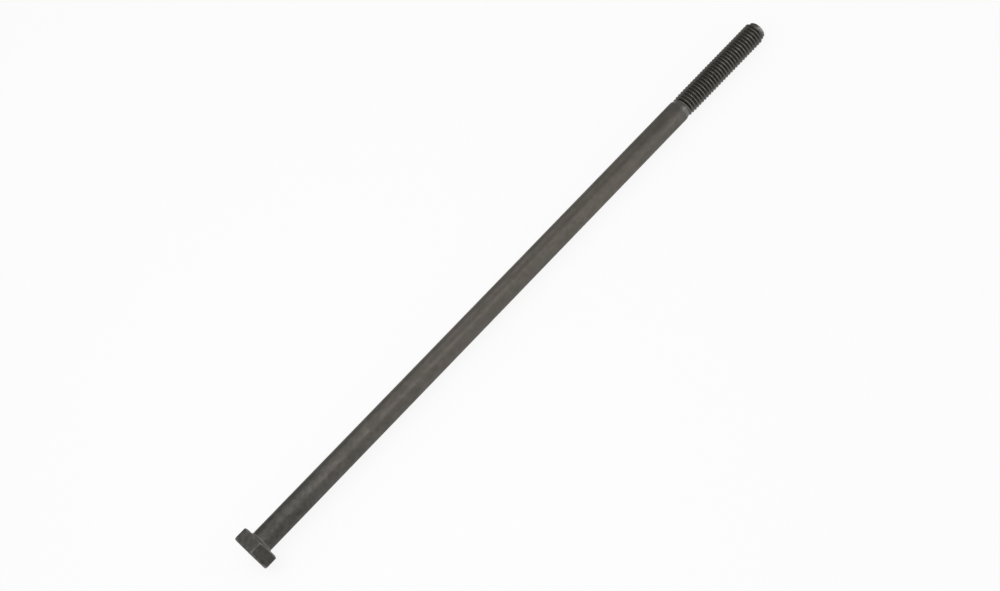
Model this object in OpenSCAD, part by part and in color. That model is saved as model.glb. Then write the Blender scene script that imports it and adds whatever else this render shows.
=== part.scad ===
// Swingarm pivot bolt: one forged and rolled piece, lying along +X with its hexagon
// flat on the -Z side. The origin is the centre of the bearing face under the head.

/* [Shank] */
// Length from the bearing face to the tip
bolt_length = 240.2; // [200:0.1:300]
// Diameter of the plain shank
shank_d = 7.75; // [7.6:0.05:8.5]
// Radius of the fillet between the shank and the bearing face
fillet_r = 0.5; // [0.3:0.1:1.2]

/* [Head] */
// Width across the flats of the hexagon
head_af = 13.6; // [13.2:0.1:14]
// Height of the head, with its washer face
head_h = 5; // [4.5:0.1:7]
// Diameter of the round flat on top, inside the chamfer
head_top_d = 12.8; // [11:0.1:13]
// Angle between the top face and the chamfer of its corners
head_top_angle = 15; // [10:1:30]
// Diameter of the raised washer face
washer_face_d = 12.6; // [11.5:0.1:12.8]
// Height of the raised washer face
washer_face_h = 0.15; // [0.1:0.05:0.4]
// Width of the plain step round the washer face, where the lower chamfer starts
washer_step_w = 0.1; // [0.1:0.05:0.3]
// Angle between the bearing face and the chamfer of its corners
head_seat_angle = 17; // [10:1:25]

/* [Neck] */
// Distance from the tip to the end of the full shank
threaded_end_length = 41.2; // [30:0.1:80]
// Length of the shoulder that runs from the shank down to the neck
shoulder_l = 1.1; // [0.5:0.05:3]
// Diameter of the neck between the shank and the thread
neck_d = 7; // [6.5:0.05:7.5]
// Length of the plain neck before the thread's first groove
neck_l = 0.3; // [0.2:0.1:3]

/* [Thread] */
// Diameter over the crests
thread_d = 7.85; // [7.6:0.05:8.1]
// Distance from one crest to the next
pitch = 1.25; // [1:0.05:1.5]
// Depth from crest to root, as a share of the pitch
depth_share = 0.6134; // [0.54:0.0001:0.65]
// Turns over which the crest grows to its full height
grow_turns = 3; // [1:0.5:5]
// Angle round the axis at which the thread runs out at the neck
thread_start_angle = 265; // [0:5:355]

/* [Tip] */
// Diameter of the end face
tip_d = 5.5; // [4.5:0.05:6.3]
// Length of the chamfer that leads a nut on
tip_chamfer_l = 1.2; // [0.9:0.1:3]

/* [Hidden] */
$fn = 96;

steel = [0.30, 0.29, 0.27];

shank_r = shank_d / 2;
crest_r = thread_d / 2;
thread_depth = depth_share * pitch;
root_r = crest_r - thread_depth;
// The core under the thread is a little slimmer than what it runs into at each end
core_step = 0.05;
neck_r = max(neck_d / 2, root_r + 2 * core_step);
tip_r = min(tip_d / 2, root_r);
corner_r = head_af / 2 / cos(30);

// Stations along the axis
shank_end = bolt_length - threaded_end_length;
neck_start = shank_end + shoulder_l;
neck_end = neck_start + neck_l;

// Pieces of one solid run this far into each other
overlap = 1;

// The crest is flat for an eighth of the pitch, and the flanks stand at 30 degrees
crest_half = pitch / 16;
foot_half = crest_half + thread_depth * tan(30);
// Facets in one turn of the thread
turn_steps = 24;
// Slope of the tip's chamfer, as radius lost for each millimetre
tip_slope = (crest_r - tip_r) / tip_chamfer_l;
// The solid tip below the last groove
tip_land_r = root_r + core_step;
tip_land_l = (tip_land_r - tip_r) / tip_slope;
// The core under the thread ends just inside it
core_end = bolt_length - tip_land_l + core_step / 2 / tip_slope;
// The last crest fades out before that tip, and the first one starts in the neck
thread_last = bolt_length - tip_land_l - foot_half;
thread_first = neck_end - foot_half;
thread_steps = floor((thread_last - thread_first) / pitch * turn_steps);
// Turns over which the crest fades at the tip
fade_turns = 0.5;
// How steeply it rises out of the neck: 1 is an even slope, and 0 would be a step
grow_power = 0.15;

// Section through the head: outline of radius and height, top face first
head_outline = [
    [0, -head_h],
    [head_top_d / 2, -head_h],
    [corner_r + overlap, -head_h + (corner_r + overlap - head_top_d / 2) * tan(head_top_angle)],
    [corner_r + overlap,
        -washer_face_h - (corner_r + overlap - washer_face_d / 2 - washer_step_w) * tan(head_seat_angle)],
    [washer_face_d / 2 + washer_step_w, -washer_face_h],
    [washer_face_d / 2, -washer_face_h],
    [washer_face_d / 2, 0],
    [0, 0]
];

// Height of a step of the helix
function helix_z(i) = thread_first + pitch * i / turn_steps;

// Radius of the crest at a step: under the tip's chamfer, and faded at both ends. It rises
// steeply out of the neck and then levels off, as the first turns of a rolled thread do.
function helix_crest_r(i) =
    let (
        chamfer_r = tip_r + (bolt_length - helix_z(i)) * tip_slope,
        growth = min(1, pow(i / turn_steps / grow_turns, grow_power)),
        fade = min(1, (thread_steps - i) / turn_steps / fade_turns)
    )
    root_r + (min(crest_r, chamfer_r) - root_r) * growth * fade;

// A point at a radius, an angle step and a height
function at_step(r, i, z) =
    [r * cos(360 * i / turn_steps), r * sin(360 * i / turn_steps), z];

// The four points of the ridge's section at a step: foot, crest, crest, foot
function ridge_section(i) = [
    at_step(root_r, i, helix_z(i) - foot_half),
    at_step(helix_crest_r(i), i, helix_z(i) - crest_half),
    at_step(helix_crest_r(i), i, helix_z(i) + crest_half),
    at_step(root_r, i, helix_z(i) + foot_half)
];

// Index of point k of the ridge's section at a step, and of the rings that close the ends
function ridge(i, k) = turn_steps + 4 * i + k;
function lower_ring(i) = i % turn_steps;
function upper_ring(i) = turn_steps + 4 * (thread_steps + 1) + i % turn_steps;

// Two triangles between a step and the next, from a lower to an upper line of points
function strip(low_a, low_b, up_a, up_b) = [[low_a, up_a, up_b], [low_a, up_b, low_b]];

// The seam where a ring meets the first or the last turn: a fan from one point to a chain
function fan(from, chain) = [for (j = [0 : len(chain) - 2]) [from, chain[j], chain[j + 1]]];

// The rolled thread, as one closed skin: the ridge's crest and flanks, the root between
// its turns, and a plain core that goes on into the neck and into the tip.
module rolled_thread() {
    n = turn_steps;
    last = thread_steps;
    ring = [for (i = [0 : n - 1]) at_step(root_r, i, 0)];
    points = concat(
        [for (p = ring) p + [0, 0, shank_end - pitch]],
        [for (i = [0 : last]) each ridge_section(i)],
        [for (p = ring) p + [0, 0, core_end]]
    );
    flanks = [for (i = [0 : last - 1]) for (k = [0 : 2])
        each strip(ridge(i, k), ridge(i + 1, k), ridge(i, k + 1), ridge(i + 1, k + 1))];
    roots = [for (i = [0 : last - n - 1])
        each strip(ridge(i, 3), ridge(i + 1, 3), ridge(i + n, 0), ridge(i + n + 1, 0))];
    lower_end = concat(
        [for (i = [0 : n - 2])
            each strip(lower_ring(i), lower_ring(i + 1), ridge(i, 0), ridge(i + 1, 0))],
        fan(ridge(n - 1, 0), [ridge(n, 0), ridge(0, 3), ridge(0, 2), ridge(0, 1), ridge(0, 0),
            lower_ring(0), lower_ring(n - 1)]),
        [[for (i = [0 : n - 1]) lower_ring(i)]]
    );
    upper_end = concat(
        [for (i = [last - n + 1 : last - 1])
            each strip(ridge(i, 3), ridge(i + 1, 3), upper_ring(i), upper_ring(i + 1))],
        fan(ridge(last - n + 1, 3), [ridge(last - n, 3), ridge(last, 0), ridge(last, 1),
            ridge(last, 2), ridge(last, 3), upper_ring(last), upper_ring(last + 1)]),
        [[for (i = [n - 1 : -1 : 0]) upper_ring(i)]]
    );
    polyhedron(points, concat(flanks, roots, lower_end, upper_end), convexity = 20);
}

// The hexagon, with its corners turned off at the top and round the washer face
module head() {
    intersection() {
        translate([0, 0, -head_h]) linear_extrude(head_h) rotate(30) circle(corner_r, $fn = 6);
        rotate_extrude() polygon(head_outline);
    }
}

// The fillet in the corner between the shank and the bearing face
module under_head_fillet() {
    rotate_extrude() difference() {
        translate([shank_r - overlap, -washer_face_h]) square([overlap + fillet_r, washer_face_h + fillet_r]);
        translate([shank_r + fillet_r, fillet_r]) circle(fillet_r);
    }
}

// The plain shank, its shoulder, and the neck with the cone that leads into the first groove
module shank_and_neck() {
    rotate_extrude() polygon([
        [0, -overlap],
        [shank_r, -overlap],
        [shank_r, shank_end],
        [neck_r, neck_start],
        [neck_r, neck_end],
        [root_r + core_step, neck_end + pitch],
        [0, neck_end + pitch]
    ]);
}

// The solid tip past the last groove, on the slope of the chamfer
module tip() {
    translate([0, 0, bolt_length - tip_land_l]) cylinder(h = tip_land_l, r1 = tip_land_r, r2 = tip_r);
}

module pivot_bolt() {
    color(steel) rotate([0, 90, 0]) {
        head();
        under_head_fillet();
        shank_and_neck();
        rotate(thread_start_angle) rolled_thread();
        tip();
    }
}

pivot_bolt();
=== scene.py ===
# A swingarm pivot bolt of blackened steel, lying on a pale studio floor.
import math

import bmesh
import bpy
from mathutils import Matrix, Vector


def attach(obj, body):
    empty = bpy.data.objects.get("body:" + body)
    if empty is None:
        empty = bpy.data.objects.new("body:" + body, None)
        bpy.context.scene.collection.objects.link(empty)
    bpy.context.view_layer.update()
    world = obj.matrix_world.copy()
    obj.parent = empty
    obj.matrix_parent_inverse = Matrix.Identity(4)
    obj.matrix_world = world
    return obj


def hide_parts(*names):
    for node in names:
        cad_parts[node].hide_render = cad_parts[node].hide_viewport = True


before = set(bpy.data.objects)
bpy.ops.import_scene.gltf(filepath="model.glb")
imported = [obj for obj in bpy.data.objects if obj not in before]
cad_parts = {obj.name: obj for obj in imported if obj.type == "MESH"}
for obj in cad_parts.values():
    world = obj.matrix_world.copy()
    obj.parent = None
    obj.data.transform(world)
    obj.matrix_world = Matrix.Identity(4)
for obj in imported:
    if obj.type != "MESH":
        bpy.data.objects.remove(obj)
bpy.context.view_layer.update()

# ---- The camera
# It looks down on the bolt from 60 degrees up, square to one corner of the hexagon, and leans
# 12 degrees toward the tip, so the far end of the bolt runs away to the upper right.
mm = 0.001
lean = math.radians(12.02)
roll = math.radians(45.945)
corner_tilt = math.radians(30)
camera_distance = 566.485 * mm
aim_x = 107.795 * mm
aim_along = 2.422 * mm
aim_across = -0.048 * mm
along_bolt = Vector((1, 0, 0))
corner_side = Vector((0, -math.sin(corner_tilt), math.cos(corner_tilt)))
across_bolt = along_bolt.cross(corner_side)
view_along = math.cos(lean) * along_bolt + math.sin(lean) * corner_side
view_down = math.sin(lean) * along_bolt - math.cos(lean) * corner_side
view_across = view_down.cross(view_along)
camera_right = math.cos(roll) * view_along + math.sin(roll) * view_across
camera_up = math.sin(roll) * view_along - math.cos(roll) * view_across
aim = aim_x * along_bolt + aim_along * view_along + aim_across * view_across
camera = bpy.data.objects.new("camera", bpy.data.cameras.new("camera"))
bpy.context.scene.collection.objects.link(camera)
camera.data.sensor_width = 36
camera.data.lens = 62.382
camera.matrix_world = (Matrix.Translation(aim - camera_distance * view_down)
                       @ Matrix((camera_right, camera_up, -view_down)).transposed().to_4x4())
bpy.context.scene.camera = camera
bpy.context.scene.view_settings.view_transform = "Standard"

# ---- The bolt
# One piece of medium carbon steel. The head is upset hot from the bar and its hexagon pressed
# in a die, the shank and its short neck are turned, and the thread is rolled on cold.
flats_r = 6.798 * mm
head_r = flats_r / math.cos(math.radians(30))
head_h = 4.999 * mm
head_top_r = 6.2 * mm
head_top_slope = math.tan(math.radians(15))
washer_face_r = 6.3 * mm
washer_face_h = 0.15 * mm
washer_step_w = 0.1 * mm
head_seat_slope = math.tan(math.radians(8))
corner_soft = 0.25 * mm
top_rim_soft = 0.15 * mm
top_edge_soft = 0.4 * mm
seat_edge_soft = 0.2 * mm
washer_rim_soft = 0.1 * mm
tip_rim_soft = 0.15 * mm
edge_margin = 0.5 * mm
top_margin = 0.6 * mm
fillet_r = 0.5 * mm
shank_r = 3.875 * mm
shank_end = 199.0 * mm
neck_start = 200.1 * mm
neck_end = 200.4 * mm
neck_r = 3.5 * mm
bolt_length = 240.2 * mm
pitch = 1.25 * mm
crest_r = 3.925 * mm
thread_depth = 0.6134 * pitch
root_r = crest_r - thread_depth
thread_sink = 0.02 * mm
tip_r = 2.75 * mm
tip_chamfer_l = 1.2 * mm
tip_slope = (crest_r - tip_r) / tip_chamfer_l

bolt_mesh = bmesh.new()


def loop_of(verts):
    """The edges that join vertices of one ring to each other, in the ring's order."""
    ring = set(verts)
    return list(dict.fromkeys(e for v in verts for e in v.link_edges if e.other_vert(v) in ring))


def next_ring(ring, place):
    """Extrudes a ring of edges once, and puts each new vertex where place says."""
    grown = bmesh.ops.extrude_edge_only(bolt_mesh, edges=loop_of(ring))["geom"]
    verts = [v for v in grown if isinstance(v, bmesh.types.BMVert)]
    for v in verts:
        v.co = place(v.co)
    return verts


def round_off(ring, width, segments):
    """Rounds the sharp edges of a ring."""
    bmesh.ops.bevel(bolt_mesh, geom=loop_of(ring), offset=width, segments=segments,
                    profile=0.5, affect="EDGES", material=-1)


def turned(radius, height):
    """A place on a turned surface, at the same angle round the axis."""
    def place(co):
        flat = Vector((co.x, co.y, 0)).normalized() * radius
        return Vector((flat.x, flat.y, height))
    return place


def seat_height(co):
    """The height of the lower chamfer over a point."""
    return -washer_face_h - head_seat_slope * (co.xy.length - washer_face_r - washer_step_w)


# The hexagon's outline, with its six corners as soft as the die leaves them
bmesh.ops.create_circle(bolt_mesh, cap_ends=True, segments=6, radius=head_r)
bmesh.ops.bevel(bolt_mesh, geom=bolt_mesh.verts[:], offset=corner_soft, segments=4,
                profile=0.5, affect="VERTICES", material=-1)
bmesh.ops.delete(bolt_mesh, geom=bolt_mesh.faces[:], context="FACES_ONLY")
bmesh.ops.subdivide_edges(bolt_mesh, cuts=12,
                          edges=[e for e in bolt_mesh.edges if e.calc_length() > 2 * mm])
top_corners = bolt_mesh.verts[:]
for v in top_corners:
    v.co.z = -head_h + (v.co.length - head_top_r) * head_top_slope

# The chamfer over the corners, and the flat top
top_rim = next_ring(top_corners, turned(head_top_r, -head_h))
top_middle = next_ring(top_rim, turned(head_top_r - top_margin, -head_h))
bmesh.ops.contextual_create(bolt_mesh, geom=loop_of(top_middle))

# The flats, the lower chamfer and the washer face
upper_flats = next_ring(top_corners, lambda co: co + Vector((0, 0, edge_margin)))
lower_flats = next_ring(upper_flats, lambda co: Vector((co.x, co.y, seat_height(co) - edge_margin)))
seat_corners = next_ring(lower_flats, lambda co: Vector((co.x, co.y, seat_height(co))))
seat_step = next_ring(seat_corners, turned(washer_face_r + washer_step_w, -washer_face_h))
washer_root = next_ring(seat_step, turned(washer_face_r, -washer_face_h))
washer_rim = next_ring(washer_root, turned(washer_face_r, 0))

# The fillet, the shank, the shoulder and the neck, with the cone that leads into the thread
ring = next_ring(washer_rim, turned(shank_r + fillet_r, 0))
fillet_steps = 6
for step in range(1, fillet_steps + 1):
    sweep = math.radians(90 * step / fillet_steps)
    ring = next_ring(ring, turned(shank_r + fillet_r * (1 - math.sin(sweep)),
                                  fillet_r * (1 - math.cos(sweep))))
for radius, height in ((shank_r, 50 * mm), (shank_r, 100 * mm), (shank_r, 150 * mm),
                       (shank_r, shank_end - 0.2 * mm),
                       (shank_r - 0.02 * mm, shank_end),
                       (shank_r - 0.06 * mm, shank_end + 0.2 * mm),
                       (neck_r + 0.05 * mm, neck_start - 0.15 * mm),
                       (neck_r + 0.02 * mm, neck_start),
                       (neck_r, neck_start + 0.15 * mm),
                       (neck_r, neck_end),
                       (root_r - 2 * thread_sink, neck_end + 1.2 * pitch)):
    ring = next_ring(ring, turned(radius, height))
bmesh.ops.contextual_create(bolt_mesh, geom=loop_of(ring))

round_off(top_rim, top_rim_soft, 3)
round_off(top_corners, top_edge_soft, 4)
round_off(seat_corners, seat_edge_soft, 3)
round_off(washer_rim, washer_rim_soft, 2)

# The thread: half a groove, a ridge and half a groove, swept up the helix
turn_steps = 48
thread_turns = 31.5
thread_start = 265
thread_first = neck_end - 0.417 * pitch
grow_turns = 3
grow_power = 0.15
fade_end = 31.3
fade_turns = 0.5
section = [(-0.5, 0), (-0.42, 0.03), (-0.373, 0.11), (-0.077, 0.95), (-0.04, 0.993), (0, 1),
           (0.04, 0.993), (0.077, 0.95), (0.373, 0.11), (0.42, 0.03), (0.5, 0)]
line = [bolt_mesh.verts.new((root_r + thread_depth * rise, 0, thread_first + dz * pitch))
        for dz, rise in section]
wire = [bolt_mesh.edges.new(pair) for pair in zip(line, line[1:])]
start = Matrix.Rotation(math.radians(thread_start), 3, "Z")
for v in line:
    v.co = start @ v.co
before = set(bolt_mesh.verts) - set(line)
bmesh.ops.spin(bolt_mesh, geom=line + wire, cent=(0, 0, 0), axis=(0, 0, 1), dvec=(0, 0, pitch / turn_steps),
               angle=2 * math.pi * thread_turns, steps=round(turn_steps * thread_turns), use_merge=False)
thread = [v for v in bolt_mesh.verts if v not in before]
for v in thread:
    radius = v.co.xy.length
    rise = (radius - root_r) / thread_depth
    # The ridge's own height up the helix, in turns from its start
    angle = math.degrees(math.atan2(v.co.y, v.co.x)) - thread_start
    turns = (v.co.z - thread_first) / pitch
    turns = round(turns - (angle / 360) % 1) + (angle / 360) % 1
    growth = min(1, (max(0, turns) / grow_turns) ** grow_power)
    growth *= min(1, max(0, (fade_end - turns) / fade_turns))
    radius = root_r - thread_sink + (thread_depth * rise + thread_sink) * growth
    cone = tip_r - thread_sink / 2 + (bolt_length - v.co.z) * tip_slope
    v.co = turned(min(radius, cone), v.co.z)(v.co)
bmesh.ops.remove_doubles(bolt_mesh, verts=thread, dist=0.0001 * mm)

# The tip, on the slope of its chamfer, with a soft rim
ring = bmesh.ops.create_circle(bolt_mesh, cap_ends=True, segments=96, radius=root_r - 0.1 * mm,
                               matrix=Matrix.Translation((0, 0, bolt_length - 1.5 * mm)))["verts"]
land_r = root_r + 0.02 * mm
ring = next_ring(ring, turned(land_r, bolt_length - (land_r - tip_r) / tip_slope))
tip_rim = next_ring(ring, turned(tip_r, bolt_length))
tip_middle = next_ring(tip_rim, turned(tip_r - edge_margin, bolt_length))
bmesh.ops.contextual_create(bolt_mesh, geom=loop_of(tip_middle))
round_off(tip_rim, tip_rim_soft, 3)

bmesh.ops.rotate(bolt_mesh, verts=bolt_mesh.verts, cent=(0, 0, 0),
                 matrix=Matrix.Rotation(math.radians(90), 3, "Y"))
bmesh.ops.recalc_face_normals(bolt_mesh, faces=bolt_mesh.faces)
for face in bolt_mesh.faces:
    face.smooth = True
# How sharply the surface turns outward at each vertex, for the wear on corners and crests and the painted
# highlight on the thread's crests
bolt_mesh.normal_update()
sharpness = bolt_mesh.verts.layers.float.new("sharpness")
for v in bolt_mesh.verts:
    v[sharpness] = sum(e.calc_face_angle_signed(0) for e in v.link_edges)
bolt = bpy.data.objects.new("long_bolt", bpy.data.meshes.new("long_bolt"))
bolt_mesh.to_mesh(bolt.data)
bolt_mesh.free()
bpy.context.scene.collection.objects.link(bolt)


def linear(hex_colour):
    """An sRGB hex colour as a shader's linear RGBA."""
    parts = [int(hex_colour[i:i + 2], 16) / 255 for i in (0, 2, 4)]
    return [p / 12.92 if p <= 0.04045 else ((p + 0.055) / 1.055) ** 2.4 for p in parts] + [1]


def add_node(material, kind, inputs=(), **settings):
    """Adds a node, with its settings, and its inputs as values or as sockets to link from."""
    node = material.node_tree.nodes.new(kind)
    for name, value in settings.items():
        setattr(node, name, value)
    for name, value in dict(inputs).items():
        if isinstance(value, bpy.types.NodeSocket):
            material.node_tree.links.new(value, node.inputs[name])
        else:
            node.inputs[name].default_value = value
    return node


black_oxide = bpy.data.materials.new("black_oxide_on_steel")
black_oxide.use_nodes = True
shader = black_oxide.node_tree.nodes["Principled BSDF"]
shader.inputs["Metallic"].default_value = 1
shader.inputs["Specular Tint"].default_value = linear("e0e0e0")
place = add_node(black_oxide, "ShaderNodeTexCoord")
axes = add_node(black_oxide, "ShaderNodeSeparateXYZ", {0: place.outputs["Object"]})

# The oxide's tone along the bolt: greyer by the head and the thread, browner between them
along = add_node(black_oxide, "ShaderNodeMath", {0: axes.outputs["X"], 1: bolt_length}, operation="DIVIDE")
tone = add_node(black_oxide, "ShaderNodeValToRGB", {0: along.outputs[0]})
tone.color_ramp.elements[0].position, tone.color_ramp.elements[0].color = 0.03, linear("585754")
tone.color_ramp.elements[1].position, tone.color_ramp.elements[1].color = 0.86, linear("595753")
for position, colour in ((0.12, "62605c"), (0.35, "6d6964"), (0.7, "706c66"), (0.82, "6a6763")):
    tone.color_ramp.elements.new(position).color = linear(colour)

# Cloudy patches, about 6 mm long and 4 mm wide, some pinkish grey and some greenish
patch_length = 6.25 * mm
patch_width = 4.16667 * mm
patches = add_node(black_oxide, "ShaderNodeMapping",
                   {"Vector": place.outputs["Object"],
                    "Scale": (1 / patch_length, 1 / patch_width, 1 / patch_width)})
cloud = add_node(black_oxide, "ShaderNodeTexNoise", {"Vector": patches.outputs[0], "Scale": 1, "Detail": 3})
tint = add_node(black_oxide, "ShaderNodeValToRGB", {0: cloud.outputs["Fac"]})
tint.color_ramp.elements[0].position, tint.color_ramp.elements[0].color = 0.38, linear("897c78")
tint.color_ramp.elements[1].position, tint.color_ramp.elements[1].color = 0.62, linear("7f8074")
patched = add_node(black_oxide, "ShaderNodeMix", {0: 0.3, 6: tone.outputs[0], 7: tint.outputs[0]},
                   data_type="RGBA", blend_type="OVERLAY")

# Faint marks of the drawing die, 20 mm long and coarser than real ones, so that they show
mark_length = 20 * mm
mark_width = 0.333333 * mm
drawn = add_node(black_oxide, "ShaderNodeMapping",
                 {"Vector": place.outputs["Object"],
                  "Scale": (1 / mark_length, 1 / mark_width, 1 / mark_width)})
marks = add_node(black_oxide, "ShaderNodeTexNoise", {"Vector": drawn.outputs[0], "Scale": 1, "Detail": 2})
mark_light = add_node(black_oxide, "ShaderNodeMapRange",
                      {0: marks.outputs["Fac"], 1: 0.3, 2: 0.7, 3: 0.985, 4: 1.015})
streaked = add_node(black_oxide, "ShaderNodeVectorMath",
                    {0: patched.outputs[2], "Scale": mark_light.outputs[0]}, operation="SCALE")

# Lighter smudges, 2 to 3 mm across, where it has been handled
smear_size = 2.63158 * mm
smears = add_node(black_oxide, "ShaderNodeTexNoise",
                  {"Vector": place.outputs["Object"], "Scale": 1 / smear_size, "Detail": 3,
                   "Distortion": 0.6})
smear_light = add_node(black_oxide, "ShaderNodeMapRange",
                       {0: smears.outputs["Fac"], 1: 0.35, 2: 0.7, 3: 0.95, 4: 1.14})
smeared = add_node(black_oxide, "ShaderNodeVectorMath",
                   {0: streaked.outputs[0], "Scale": smear_light.outputs[0]}, operation="SCALE")

# A coarse grain of forge scale on the head, which fades out along the first part of the shank
grain_size = 1.42857 * mm
grain = add_node(black_oxide, "ShaderNodeTexNoise",
                 {"Vector": place.outputs["Object"], "Scale": 1 / grain_size, "Detail": 3})
scale_light = add_node(black_oxide, "ShaderNodeMapRange",
                       {0: grain.outputs["Fac"], 1: 0.3, 2: 0.7, 3: 0.8, 4: 1.2})
forged = add_node(black_oxide, "ShaderNodeMapRange",
                  {0: axes.outputs["X"], 1: 90 * mm, 2: 0, 3: 0.1, 4: 1})
scale_here = add_node(black_oxide, "ShaderNodeMix", {0: forged.outputs[0], 2: 1, 3: scale_light.outputs[0]})
scaled = add_node(black_oxide, "ShaderNodeVectorMath",
                  {0: smeared.outputs[0], "Scale": scale_here.outputs[0]}, operation="SCALE")

# Corners and crests are rubbed lighter, in a broken line. On the thread this is also a painted highlight:
# the crests are lightened only along the −Y side, where the light falls.
wear_at = add_node(black_oxide, "ShaderNodeAttribute", attribute_name="sharpness")
edge = add_node(black_oxide, "ShaderNodeMapRange", {0: wear_at.outputs["Fac"], 1: 0.3, 2: 1.1})
broken = add_node(black_oxide, "ShaderNodeMapRange",
                  {0: grain.outputs["Fac"], 1: 0.35, 2: 0.6, 3: 0.35, 4: 1})
past = add_node(black_oxide, "ShaderNodeMapRange",
                {0: axes.outputs["X"], 1: shank_end - 0.4 * mm, 2: shank_end + 0.2 * mm})
round_it = add_node(black_oxide, "ShaderNodeMapRange", {0: axes.outputs["Y"], 1: -crest_r, 2: 0})
# Painted highlight: full on the −Y side of the thread's crests, where the light falls, and none on the +Y
# side
lit_side_highlight = add_node(black_oxide, "ShaderNodeValToRGB", {0: round_it.outputs[0]})
lit_side_highlight.color_ramp.elements[0].position = 0.05
lit_side_highlight.color_ramp.elements[0].color = (0.15, 0.15, 0.15, 1)
lit_side_highlight.color_ramp.elements[1].position = 1
lit_side_highlight.color_ramp.elements[1].color = (0, 0, 0, 1)
for position in (0.4, 0.55):
    lit_side_highlight.color_ramp.elements.new(position).color = (1, 1, 1, 1)
wear_and_highlight_share = add_node(black_oxide, "ShaderNodeMix", {0: past.outputs[0], 2: 0.75, 3: lit_side_highlight.outputs[0]})
chipped = add_node(black_oxide, "ShaderNodeMath", {0: edge.outputs[0], 1: broken.outputs[0]},
                   operation="MULTIPLY")
wear_and_highlight = add_node(black_oxide, "ShaderNodeMath", {0: chipped.outputs[0], 1: wear_and_highlight_share.outputs[0]},
                operation="MULTIPLY")
worn_and_highlit = add_node(black_oxide, "ShaderNodeMix",
                {0: wear_and_highlight.outputs[0], 6: scaled.outputs[0], 7: linear("9b9a96")}, data_type="RGBA")

# The fillet and the shoulder are painted lighter: a painted reflection in the fillet's hollow and a painted
# highlight on the shoulder's cone
fillet_span = add_node(black_oxide, "ShaderNodeMapRange", {0: axes.outputs["X"], 1: 0.9 * mm, 2: 0.3 * mm})
under = add_node(black_oxide, "ShaderNodeMapRange", {0: axes.outputs["X"], 1: -0.4 * mm, 2: -0.1 * mm})
before_thread = add_node(black_oxide, "ShaderNodeMapRange",
                         {0: axes.outputs["X"], 1: neck_end + 0.6 * mm, 2: neck_end})
fillet_painted_reflection = add_node(black_oxide, "ShaderNodeMath", {0: fillet_span.outputs[0], 1: under.outputs[0]},
                      operation="MULTIPLY")
shoulder_painted_highlight = add_node(black_oxide, "ShaderNodeMath", {0: past.outputs[0], 1: before_thread.outputs[0]},
                        operation="MULTIPLY")
painted_fillet_and_shoulder_light = add_node(black_oxide, "ShaderNodeMath", {0: fillet_painted_reflection.outputs[0], 1: shoulder_painted_highlight.outputs[0]},
               operation="ADD")
with_painted_fillet_and_shoulder_light = add_node(black_oxide, "ShaderNodeMix", {0: painted_fillet_and_shoulder_light.outputs[0], 6: worn_and_highlit.outputs[2], 7: linear("73716d")},
                  data_type="RGBA")

# The thread's roots are darkened toward the bottom of each groove: painted shade of the grooves, together
# with dark oil
off_axis = add_node(black_oxide, "ShaderNodeCombineXYZ", {1: axes.outputs["Y"], 2: axes.outputs["Z"]})
axis_gap = add_node(black_oxide, "ShaderNodeVectorMath", {0: off_axis.outputs[0]}, operation="LENGTH")
depth = add_node(black_oxide, "ShaderNodeMapRange",
                 {0: axis_gap.outputs["Value"], 1: root_r, 2: crest_r, 3: 1, 4: 0})
threaded = add_node(black_oxide, "ShaderNodeMapRange",
                    {0: axes.outputs["X"], 1: neck_end, 2: neck_end + 0.5 * pitch})
before_tip = add_node(black_oxide, "ShaderNodeMapRange",
                      {0: axes.outputs["X"], 1: bolt_length - 1.6 * mm,
                       2: bolt_length - tip_chamfer_l, 3: 1, 4: 0})
oil_and_shade_span = add_node(black_oxide, "ShaderNodeMath", {0: threaded.outputs[0], 1: before_tip.outputs[0]},
                  operation="MULTIPLY")
oil_and_root_shade = add_node(black_oxide, "ShaderNodeMath", {0: depth.outputs[0], 1: oil_and_shade_span.outputs[0]},
               operation="MULTIPLY")
oiled_and_shaded = add_node(black_oxide, "ShaderNodeMix", {0: oil_and_root_shade.outputs[0], 6: with_painted_fillet_and_shoulder_light.outputs[2], 7: linear("54524e")},
                data_type="RGBA")
black_oxide.node_tree.links.new(oiled_and_shaded.outputs[2], shader.inputs["Base Color"])

# Satin, a little rougher where the patches are dull, and burnished by the dies from the shoulder on
satin = add_node(black_oxide, "ShaderNodeMapRange",
                 {0: cloud.outputs["Fac"], 1: 0.3, 2: 0.7, 3: 0.42, 4: 0.56})
burnished = add_node(black_oxide, "ShaderNodeMix", {0: past.outputs[0], 2: satin.outputs[0], 3: 0.34})
black_oxide.node_tree.links.new(burnished.outputs[0], shader.inputs["Roughness"])
pits = add_node(black_oxide, "ShaderNodeBump",
                {"Height": grain.outputs["Fac"], "Strength": 0.15, "Distance": 0.1 * mm})
black_oxide.node_tree.links.new(pits.outputs[0], shader.inputs["Normal"])
bolt.data.materials.append(black_oxide)
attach(bolt, "root")
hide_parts("pivot_bolt")

# ---- The floor and the light
# A wide pale studio floor, which the head's lower flat and the last crests of the thread both
# touch, with soft light all round as in a light tent and four soft boxes. One of them stands
# beyond the tip, for the glint on the shoulder and on the thread's near flanks.
floor_under_x = 140 * mm
floor_z = -5.111 * mm
floor_slope = math.radians(-0.689)
floor_mesh = bmesh.new()
bmesh.ops.create_grid(floor_mesh, x_segments=1, y_segments=1, size=6,
                      matrix=Matrix.Translation((floor_under_x, 0, floor_z))
                      @ Matrix.Rotation(floor_slope, 4, "Y"))
floor = bpy.data.objects.new("floor", bpy.data.meshes.new("floor"))
floor_mesh.to_mesh(floor.data)
floor_mesh.free()
bpy.context.scene.collection.objects.link(floor)
pale_floor = bpy.data.materials.new("pale_paper_floor")
pale_floor.use_nodes = True
pale_floor.node_tree.nodes.clear()
floor_rays = add_node(pale_floor, "ShaderNodeLightPath")
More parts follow.
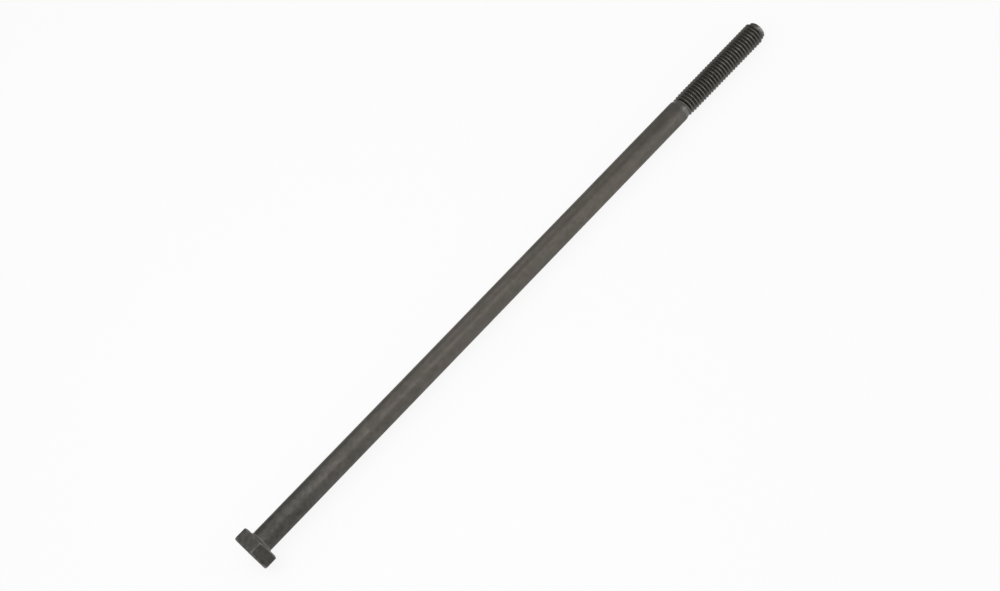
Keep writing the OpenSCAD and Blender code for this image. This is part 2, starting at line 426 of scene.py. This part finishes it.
seen = add_node(pale_floor, "ShaderNodeMath",
                {0: floor_rays.outputs["Is Camera Ray"], 1: floor_rays.outputs["Is Glossy Ray"]},
                operation="MAXIMUM")
glow_share = add_node(pale_floor, "ShaderNodeMath", {0: seen.outputs[0], 1: 0.88}, operation="MULTIPLY")
paper = add_node(pale_floor, "ShaderNodeBsdfDiffuse", {"Color": linear("fafafa")})
glow = add_node(pale_floor, "ShaderNodeEmission", {"Color": (1, 1, 1, 1), "Strength": 1.0})
lit_paper = add_node(pale_floor, "ShaderNodeMixShader",
                     {0: glow_share.outputs[0], 1: paper.outputs[0], 2: glow.outputs[0]})
add_node(pale_floor, "ShaderNodeOutputMaterial", {"Surface": lit_paper.outputs[0]})
floor.data.materials.append(pale_floor)

world = bpy.data.worlds.new("light_tent")
bpy.context.scene.world = world
world.use_nodes = True
world.node_tree.nodes.clear()
tent_rays = add_node(world, "ShaderNodeLightPath")
tent = add_node(world, "ShaderNodeBackground", {"Color": (1, 1, 1, 1), "Strength": 0.45})
white = add_node(world, "ShaderNodeBackground", {"Color": (1, 1, 1, 1), "Strength": 1.0})
backdrop = add_node(world, "ShaderNodeMixShader",
                    {0: tent_rays.outputs["Is Camera Ray"], 1: tent.outputs[0], 2: white.outputs[0]})
add_node(world, "ShaderNodeOutputWorld", {"Surface": backdrop.outputs[0]})

lit_point = Vector((120 * mm, 0, 0))
for name, spot, width, height, power in (("overhead_box", (-0.02, 0.0, 0.26), 0.2, 0.14, 0.2),
                                         ("front_box", (0.12, -0.45, 0.85), 0.8, 0.4, 1.5),
                                         ("rear_box", (0.18, 0.36, 0.42), 0.3, 0.35, 0.32),
                                         ("end_box", (0.7, -0.72, 0.34), 1.5, 0.4, 2.1)):
    box = bpy.data.objects.new(name, bpy.data.lights.new(name, "AREA"))
    box.data.shape = "RECTANGLE"
    box.data.size, box.data.size_y = width, height
    box.data.energy = power
    box.location = spot
    box.rotation_euler = (lit_point - box.location).to_track_quat("-Z", "Y").to_euler()
    bpy.context.scene.collection.objects.link(box)
